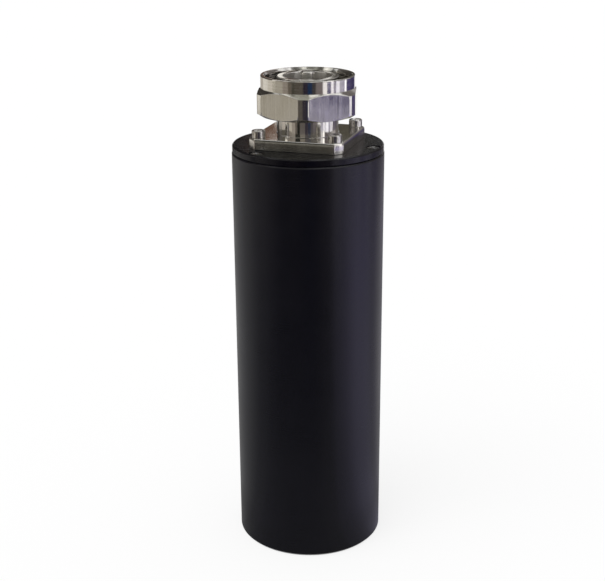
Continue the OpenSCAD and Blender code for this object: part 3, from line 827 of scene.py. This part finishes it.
# The finish of each material slot of the record
FINISHES = {
    "anodised_housing": (anodised, dict(
        dark=(0.0013, 0.0012, 0.0038), light=(0.0023, 0.0021, 0.0056),
        rough=0.3, specular=0.5, stretch=0.6)),
    "anodised_cap": (anodised, dict(
        dark=(0.0012, 0.001, 0.0026), light=(0.0024, 0.0022, 0.0042),
        rough=0.2, specular=0.4, stretch=0.5)),
    "plated_nut": (plated, dict(
        dark=(0.66, 0.645, 0.61), light=(0.86, 0.845, 0.815), rough=0.125, vary=0.045,
        flats_below=(NUT_Z + NUT_HEX_H) * MM, streak_depth=0.000012)),
    "plated_body": (plated, dict(
        dark=(0.72, 0.705, 0.67), light=(0.88, 0.865, 0.835), rough=0.085, vary=0.02,
        flats_below=FLANGE_FLATS_TOP * MM, streak_depth=0.000003, duller_flats=0.11,
        bore=BORE_LIMIT_R * MM, duller_bore=0.24)),
    "bright_steel": (screw_metal, dict(
        dark=(0.56, 0.55, 0.53), light=(0.82, 0.81, 0.79), rough=0.1)),
    "dark_steel": (screw_metal, dict(
        dark=(0.42, 0.42, 0.43), light=(0.58, 0.58, 0.59), rough=0.16)),
    "plated_pin": (turned_metal, dict(
        dark=(0.72, 0.71, 0.68), light=(0.84, 0.83, 0.8), rough=0.2)),
    "spring_bronze": (turned_metal, dict(
        dark=(0.45, 0.3, 0.15), light=(0.56, 0.4, 0.22), rough=0.3)),
    "ferrule_metal": (turned_metal, dict(
        dark=(0.62, 0.62, 0.6), light=(0.74, 0.74, 0.72), rough=0.28)),
    "bare_aluminium": (turned_metal, dict(
        dark=(0.5, 0.51, 0.52), light=(0.6, 0.61, 0.62), rough=0.34,
        mark_scale=2600, mark_depth=0.00003)),
    "bare_brass": (turned_metal, dict(
        dark=(0.52, 0.38, 0.15), light=(0.66, 0.5, 0.24), rough=0.26)),
    "seal_rubber": (moulded, dict(
        dark=(0.014, 0.014, 0.014), light=(0.03, 0.03, 0.03), rough=0.55)),
    "gasket_silicone": (moulded, dict(
        dark=(0.05, 0.052, 0.055), light=(0.085, 0.088, 0.09), rough=0.5)),
    "white_bead": (moulded, dict(
        dark=(0.78, 0.78, 0.75), light=(0.87, 0.87, 0.84), rough=0.42)),
    "film_ceramic": (moulded, dict(
        dark=(0.06, 0.04, 0.03), light=(0.11, 0.075, 0.055), rough=0.48)),
}


def make_finishes():
    """The material of each slot."""
    return {slot: make(slot, **settings) for slot, (make, settings) in FINISHES.items()}


def build_object(finishes):
    """Every piece: the visible ones as finer meshes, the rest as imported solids."""
    for piece in (housing, end_cap, connector_body, coupling_nut, front_gasket, centre_pin,
                  dielectric_bead):
        piece(finishes)
    for k, angle in enumerate(FLANGE_SCREW_ANGLES):
        socket_screw(f"flange_screw_{k + 1}", at(FLANGE_SCREW_R, angle), FLANGE_TOP,
                     FLANGE_TOP - CAP_TOP + FLANGE_SCREW_GRIP, angle, finishes)
    for k, angle in enumerate(CAP_SCREW_ANGLES):
        flat_screw(f"cap_screw_{k + 1}", at(CAP_SCREW_R, angle), CAP_TOP - FLAT_SINK,
                   CAP_TOP - HOUSING_H + CAP_SCREW_GRIP, angle, finishes)
    for part in frame["record"]["subparts"]:
        node = frame["nodes"][part["node"]]
        node.data.materials.clear()
        node.data.materials.append(finishes[part["material_slot"]])


# Studio: lengths are in metres

# The longest straight stretch of a card, in degrees
CARD_STEP = 4


def glow_material(name, colour):
    """The even glow of a card."""
    material = bpy.data.materials.new(name)
    material.use_nodes = True
    nodes = material.node_tree.nodes
    nodes.remove(nodes["Principled BSDF"])
    glow = nodes.new("ShaderNodeEmission")
    glow.inputs["Color"].default_value = (*colour, 1)
    material.node_tree.links.new(glow.outputs[0], nodes["Material Output"].inputs["Surface"])
    return material


def card(name, start, end, line, colour):
    """A card round the object that only mirrors see. Start and end are in degrees from
    the camera's side, growing towards the right. The line is the card's section, as
    points (distance from the axis, height)."""
    steps = max(1, math.ceil((end - start) / CARD_STEP))
    verts, faces = [], []
    for k in range(steps + 1):
        turn = math.radians(start + (end - start) * k / steps)
        verts += [(r * math.sin(turn), -r * math.cos(turn), z) for r, z in line]
    for k in range(steps):
        for j in range(len(line) - 1):
            here = k * len(line) + j
            there = here + len(line)
            faces.append((here, there, there + 1, here + 1))
    mesh = bpy.data.meshes.new(name)
    mesh.from_pydata(verts, [], faces)
    mesh.materials.append(glow_material(name, colour))
    obj = bpy.data.objects.new(name, mesh)
    bpy.context.scene.collection.objects.link(obj)
    obj.visible_camera = False
    obj.visible_diffuse = False
    obj.visible_shadow = False
    obj.visible_transmission = False


def upright_card(name, start, end, radius, bottom, top, colour):
    """A card that stands at that distance from the axis."""
    card(name, start, end, ((radius, bottom), (radius, top)), colour)


def level_card(name, start, end, height, inner, outer, colour):
    """A card that lies at that height."""
    card(name, start, end, ((inner, height), (outer, height)), colour)


def white_to_mirrors(tree, plain, bright):
    """Mixes two shaders: bright for what the camera, mirrors and glass see, plain for the rest."""
    nodes, links = tree.nodes, tree.links
    path = nodes.new("ShaderNodeLightPath")
    either = nodes.new("ShaderNodeMath")
    either.operation = "MAXIMUM"
    links.new(path.outputs["Is Camera Ray"], either.inputs[0])
    links.new(path.outputs["Is Glossy Ray"], either.inputs[1])
    any_of = nodes.new("ShaderNodeMath")
    any_of.operation = "MAXIMUM"
    links.new(either.outputs[0], any_of.inputs[0])
    links.new(path.outputs["Is Transmission Ray"], any_of.inputs[1])
    mix = nodes.new("ShaderNodeMixShader")
    links.new(any_of.outputs[0], mix.inputs[0])
    links.new(plain, mix.inputs[1])
    links.new(bright, mix.inputs[2])
    return mix.outputs[0]


def world(ambient):
    """An even pale room whose walls look white."""
    scene_world = bpy.data.worlds.new("studio")
    bpy.context.scene.world = scene_world
    scene_world.use_nodes = True
    tree = scene_world.node_tree
    plain = tree.nodes["Background"]
    plain.inputs["Color"].default_value = (1, 1, 1, 1)
    plain.inputs["Strength"].default_value = ambient
    white = tree.nodes.new("ShaderNodeBackground")
    white.inputs["Color"].default_value = (1, 1, 1, 1)
    white.inputs["Strength"].default_value = 1.0
    mixed = white_to_mirrors(tree, plain.outputs[0], white.outputs[0])
    tree.links.new(mixed, tree.nodes["World Output"].inputs["Surface"])


def floor(shadow_share):
    """A wide pale floor that keeps the object's shadow."""
    half = 12.0
    corners = [(-half, -half, 0), (half, -half, 0), (half, half, 0), (-half, half, 0)]
    mesh = bpy.data.meshes.new("floor")
    mesh.from_pydata(corners, [], [(0, 1, 2, 3)])
    material = bpy.data.materials.new("floor")
    material.use_nodes = True
    tree = material.node_tree
    tree.nodes.remove(tree.nodes["Principled BSDF"])
    pale = tree.nodes.new("ShaderNodeBsdfDiffuse")
    pale.inputs["Color"].default_value = (0.92, 0.92, 0.92, 1)
    glow = tree.nodes.new("ShaderNodeEmission")
    glow.inputs["Color"].default_value = (1, 1, 1, 1)
    both = tree.nodes.new("ShaderNodeMixShader")
    both.inputs[0].default_value = 1 - shadow_share
    tree.links.new(pale.outputs[0], both.inputs[1])
    tree.links.new(glow.outputs[0], both.inputs[2])
    mixed = white_to_mirrors(tree, pale.outputs[0], both.outputs[0])
    tree.links.new(mixed, tree.nodes["Material Output"].inputs["Surface"])
    mesh.materials.append(material)
    obj = bpy.data.objects.new("floor", mesh)
    bpy.context.scene.collection.objects.link(obj)


def soft_light(name, direction, strength, spread):
    """An even soft light from one side of the studio. Mirrors see the cards instead."""
    lamp = bpy.data.lights.new(name, "SUN")
    lamp.energy = strength
    lamp.angle = math.radians(spread)
    obj = bpy.data.objects.new(name, lamp)
    obj.rotation_euler = Vector(direction).to_track_quat("-Z", "Y").to_euler()
    obj.visible_glossy = False
    bpy.context.scene.collection.objects.link(obj)


# What mirrors see round the object, in sectors: from and to in degrees, then the colours of
# the high wall, of the low wall, of the strip at its foot, and of the floor. The levels are
# the wall's heights from its top to its foot.
WALL_R = 0.6
WALL_LEVELS = (0.8, 0.11, 0.034, 0.0008)
SECTORS = (
    ("left_far", -165, -136,
     (0.05, 0.045, 0.04), (0.5, 0.46, 0.41), (0.02, 0.017, 0.014), (0.44, 0.44, 0.44)),
    ("left_bright", -136, -112,
     (0.12, 0.11, 0.1), (0.8, 0.76, 0.68), (0.2, 0.18, 0.16), (0.45, 0.45, 0.46)),
    ("left_light", -112, -94,
     (0.12, 0.11, 0.09), (0.68, 0.63, 0.55), (0.42, 0.38, 0.34), (0.39, 0.39, 0.4)),
    ("left_line", -94, -83,
     (1.2, 1.15, 1.05), (0.5, 0.46, 0.38), (0.02, 0.016, 0.012), (0.3, 0.3, 0.315)),
    ("left_warm", -83, -62,
     (0.26, 0.23, 0.2), (0.38, 0.35, 0.28), (0.58, 0.53, 0.46), (0.17, 0.17, 0.19)),
    ("left_dim", -62, -48,
     (0.3, 0.27, 0.24), (0.29, 0.25, 0.21), (0.36, 0.32, 0.27), (0.09, 0.09, 0.11)),
    ("front_brown", -48, -39,
     (0.026, 0.026, 0.022), (0.15, 0.125, 0.098), (0.13, 0.115, 0.1), (0.05, 0.05, 0.058)),
    ("front_shade", -39, -30,
     (0.022, 0.022, 0.019), (0.1, 0.09, 0.068), (0.13, 0.115, 0.1), (0.05, 0.05, 0.058)),
    ("front_olive", -30, -11,
     (0.24, 0.22, 0.19), (0.07, 0.06, 0.045), (0.17, 0.15, 0.14), (0.032, 0.03, 0.042)),
    ("front_dark", -11, 0,
     (0.1, 0.09, 0.09), (0.022, 0.018, 0.03), (0.06, 0.05, 0.055), (0.029, 0.027, 0.044)),
    ("front_blue", 0, 10,
     (0.09, 0.09, 0.1), (0.006, 0.03, 0.09), (0.05, 0.045, 0.05), (0.029, 0.027, 0.044)),
    ("front_black", 10, 19,
     (0.12, 0.11, 0.1), (0.04, 0.036, 0.036), (0.11, 0.1, 0.105), (0.044, 0.041, 0.056)),
    ("front_grey", 19, 36,
     (0.14, 0.13, 0.12), (0.22, 0.185, 0.18), (0.11, 0.1, 0.105), (0.09, 0.085, 0.105)),
    ("right_light", 36, 47,
     (0.4, 0.38, 0.36), (1.25, 1.2, 1.18), (0.75, 0.74, 0.74), (0.26, 0.24, 0.38)),
    ("right_face", 47, 57,
     (0.75, 0.73, 0.73), (0.02, 0.01, 0.1), (0.72, 0.7, 0.7), (0.38, 0.35, 0.56)),
    ("right_stripe_1", 57, 64,
     (1.5, 1.46, 1.44), (1.15, 1.1, 1.15), (0.8, 0.78, 0.8), (0.5, 0.46, 0.74)),
    ("right_gap", 64, 71,
     (0.14, 0.12, 0.12), (0.16, 0.14, 0.17), (1.15, 1.13, 1.13), (0.65, 0.6, 0.97)),
    ("right_stripe_2", 71, 82,
     (0.14, 0.12, 0.12), (1.15, 1.12, 1.2), (1.1, 1.08, 1.1), (0.74, 0.69, 1.08)),
    ("right_dim", 82, 92,
     (0.2, 0.19, 0.18), (0.5, 0.47, 0.56), (0.42, 0.4, 0.42), (0.66, 0.61, 0.96)),
    ("right_violet", 92, 99,
     (0.3, 0.28, 0.27), (0.36, 0.33, 0.44), (1.15, 1.13, 1.15), (0.6, 0.565, 0.86)),
    ("right_stripe_3", 99, 106,
     (0.4, 0.38, 0.37), (1.6, 1.57, 1.65), (0.3, 0.28, 0.29), (0.5, 0.47, 0.69)),
    ("right_purple", 106, 124,
     (0.45, 0.42, 0.42), (0.06, 0.045, 0.15), (0.17, 0.15, 0.15), (0.37, 0.35, 0.47)),
    ("right_end", 124, 152,
     (0.16, 0.145, 0.14), (0.05, 0.04, 0.11), (0.1, 0.09, 0.088), (0.46, 0.445, 0.5)),
    ("right_far", 152, 163,
     (0.4, 0.38, 0.38), (0.8, 0.78, 0.86), (0.16, 0.145, 0.14), (0.4, 0.39, 0.43)),
    ("back", 163, 195, None, None, None, (0.3, 0.3, 0.31)),
)

# The floor's rings: from and to, how light they are, how much alike all round, and how
# strong their tint is. Close to the object they are more alike and the nearest is dimmer:
# painted shade of the object's shadow on the floor, which these glowing cards don't get.
# Far out the contrast and the tint are stronger.
RINGS = (
    (0.02, 0.045, 0.87, 0.72, 0.9),
    (0.045, 0.12, 1.05, 0.54, 0.9),
    (0.12, 0.32, 1.0, 0.2, 0.8),
    (0.32, 0.6, 0.8, -0.13, 1.5),
)
# The grey of the floor in the object's shadow, painted as shade into the near rings
PAINTED_SHADE_GREY = 0.24

# A light band and a dark one in front on the left, with their heights. The flange's front
# side mirrors the light one in its rounded top edge, and the dark one below.
BAND_R = 0.59
BANDS = (
    ("band_light", -41, -28, 0.125, 0.215, (0.3, 0.29, 0.25)),
    ("band_dark", -38.5, -31, 0.0008, 0.056, (0.01, 0.01, 0.008)),
)

# The darker room behind the object, which faces that look up mirror, with its heights
ROOM_R = 0.9
ROOM = (
    ("room_right", 138, 176, 0.22, 0.62, (0.085, 0.085, 0.085)),
    ("room_olive", 176, 181, 0.22, 0.75, (0.08, 0.072, 0.055)),
    ("room_red", 181, 183.7, 0.22, 0.75, (0.14, 0.08, 0.055)),
    ("room_left", 183.7, 230, 0.22, 0.5, (0.03, 0.03, 0.03)),
    ("room_corner", 183.7, 230, 0.5, 0.95, (0.02, 0.02, 0.02)),
    ("room_window", 138, 168, 0.62, 1.0, (0.5, 0.52, 0.44)),
)

# Light gaps and dark posts in that room, which the nut's rim mirrors
WINDOW_R = 0.89
WINDOW_LEVELS = (0.285, 0.325)
LIGHT, DARK = (1.1, 1.07, 1.0), (0.03, 0.025, 0.02)
WINDOWS = (
    (177.6, 178.4, DARK),
    (178.4, 178.9, LIGHT),
    (178.9, 180.1, DARK),
    (180.1, 180.6, LIGHT),
    (180.6, 181.5, DARK),
    (181.5, 182.4, LIGHT),
)

# The ceiling, which rounded edges mirror: from and to in degrees, then from and to in
# distance from the axis. Its dark and light parts near the middle show in the chamfer
# inside the nut's rim.
CEILING_Z = 1.3
CEILING = (
    ("ceiling_middle", -180, 180, 0.0, 0.16, (0.3, 0.3, 0.26)),
    ("ceiling_rim_gap_1", 8, 56, 0.16, 0.25, (1.2, 1.18, 1.1)),
    ("ceiling_middle_right", 8, 56, 0.25, 0.33, (0.36, 0.36, 0.31)),
    ("ceiling_right", 8, 56, 0.33, 0.75, (1.6, 1.6, 1.6)),
    ("ceiling_rim_dark_1", 56, 96, 0.16, 0.52, (0.07, 0.065, 0.055)),
    ("ceiling_right_end", 56, 96, 0.52, 0.75, (1.5, 1.5, 1.5)),
    ("ceiling_middle_back", 96, 256, 0.16, 0.35, (0.34, 0.34, 0.29)),
    ("ceiling_end", 96, 155, 0.35, 0.75, (0.66, 0.65, 0.66)),
    ("ceiling_back", 155, 205, 0.35, 0.75, (0.38, 0.38, 0.32)),
    ("ceiling_left", 205, 256, 0.35, 0.75, (0.5, 0.49, 0.44)),
    ("ceiling_rim_gap_2", 256, 269, 0.48, 0.8, (1.4, 1.38, 1.3)),
    ("ceiling_rim_dark_2", 256, 290, 0.16, 0.48, (0.07, 0.065, 0.055)),
    ("ceiling_left_end", 269, 290, 0.48, 0.75, (0.45, 0.45, 0.4)),
    ("ceiling_rim_dark_3", 290, 368, 0.16, 0.25, (0.07, 0.065, 0.055)),
    ("ceiling_front", 290, 368, 0.25, 0.75, (0.45, 0.45, 0.4)),
    ("ceiling_rim_dark_4", 240, 275, 0.8, 1.6, (0.07, 0.065, 0.055)),
)


def ring_colour(ground, light, alike, tint):
    """The floor's colour in one ring of a sector, drawn by alike towards the grey of the painted
    shade.
    """
    grey = sum(ground) / 3
    tinted = [grey + (g - grey) * tint for g in ground]
    return tuple(light * max(0, g * (1 - alike) + PAINTED_SHADE_GREY * alike) for g in tinted)


def studio():
    world(ambient=0.74)
    floor(shadow_share=0.22)
    soft_light("key_light", direction=(0.35, 0.55, -1.0), strength=1.0, spread=40)
    soft_light("side_light", direction=(1.0, 0.3, -0.8), strength=0.5, spread=40)
    low = WALL_LEVELS[-1]
    for name, start, end, *walls, ground in SECTORS:
        for k, (inner, outer, *shade_of_ring) in enumerate(RINGS):
            level_card(f"{name}_floor_{k}", start, end, low, inner, outer,
                       ring_colour(ground, *shade_of_ring))
        for colour, top, bottom in zip(walls, WALL_LEVELS, WALL_LEVELS[1:]):
            if colour:
                upright_card(f"{name}_wall_{top}", start, end, WALL_R, bottom, top, colour)
    for name, start, end, bottom, top, colour in BANDS:
        upright_card(name, start, end, BAND_R, bottom, top, colour)
    for name, start, end, bottom, top, colour in ROOM:
        upright_card(name, start, end, ROOM_R, bottom, top, colour)
    for k, (start, end, colour) in enumerate(WINDOWS):
        upright_card(f"window_{k + 1}", start, end, WINDOW_R, *WINDOW_LEVELS, colour)
    for name, start, end, inner, outer, colour in CEILING:
        level_card(name, start, end, CEILING_Z, inner, outer, colour)


# Camera of the photograph, fitted to its outlines: millimetres, radians and pixels

CAMERA_DISTANCE = 388.965
CAMERA_HEIGHT = 228.781
CAMERA_PITCH = 0.341088
CAMERA_ROLL = -0.007076
CAMERA_YAW = -0.005647
FOCAL_PIXELS = 1184.554
PICTURE_WIDTH = 605
SENSOR = 36.0


def camera():
    lens = bpy.data.cameras.new("camera")
    lens.sensor_fit = "HORIZONTAL"
    lens.sensor_width = SENSOR
    lens.lens = FOCAL_PIXELS / PICTURE_WIDTH * SENSOR
    lens.clip_start, lens.clip_end = 0.01, 50
    ahead = Vector((math.sin(CAMERA_YAW) * math.cos(CAMERA_PITCH),
                    math.cos(CAMERA_YAW) * math.cos(CAMERA_PITCH), -math.sin(CAMERA_PITCH)))
    right = Vector((math.cos(CAMERA_YAW), -math.sin(CAMERA_YAW), 0))
    up = right.cross(ahead)
    cos, sin = math.cos(CAMERA_ROLL), math.sin(CAMERA_ROLL)
    right, up = right * cos + up * sin, up * cos - right * sin
    obj = bpy.data.objects.new("camera", lens)
    turn = Matrix((right, up, -ahead)).transposed().to_4x4()
    obj.matrix_world = Matrix.Translation((0, -CAMERA_DISTANCE * MM, CAMERA_HEIGHT * MM)) @ turn
    bpy.context.scene.collection.objects.link(obj)
    bpy.context.scene.camera = obj


build_object(make_finishes())
studio()
camera()
bpy.context.scene.view_settings.view_transform = "Standard"
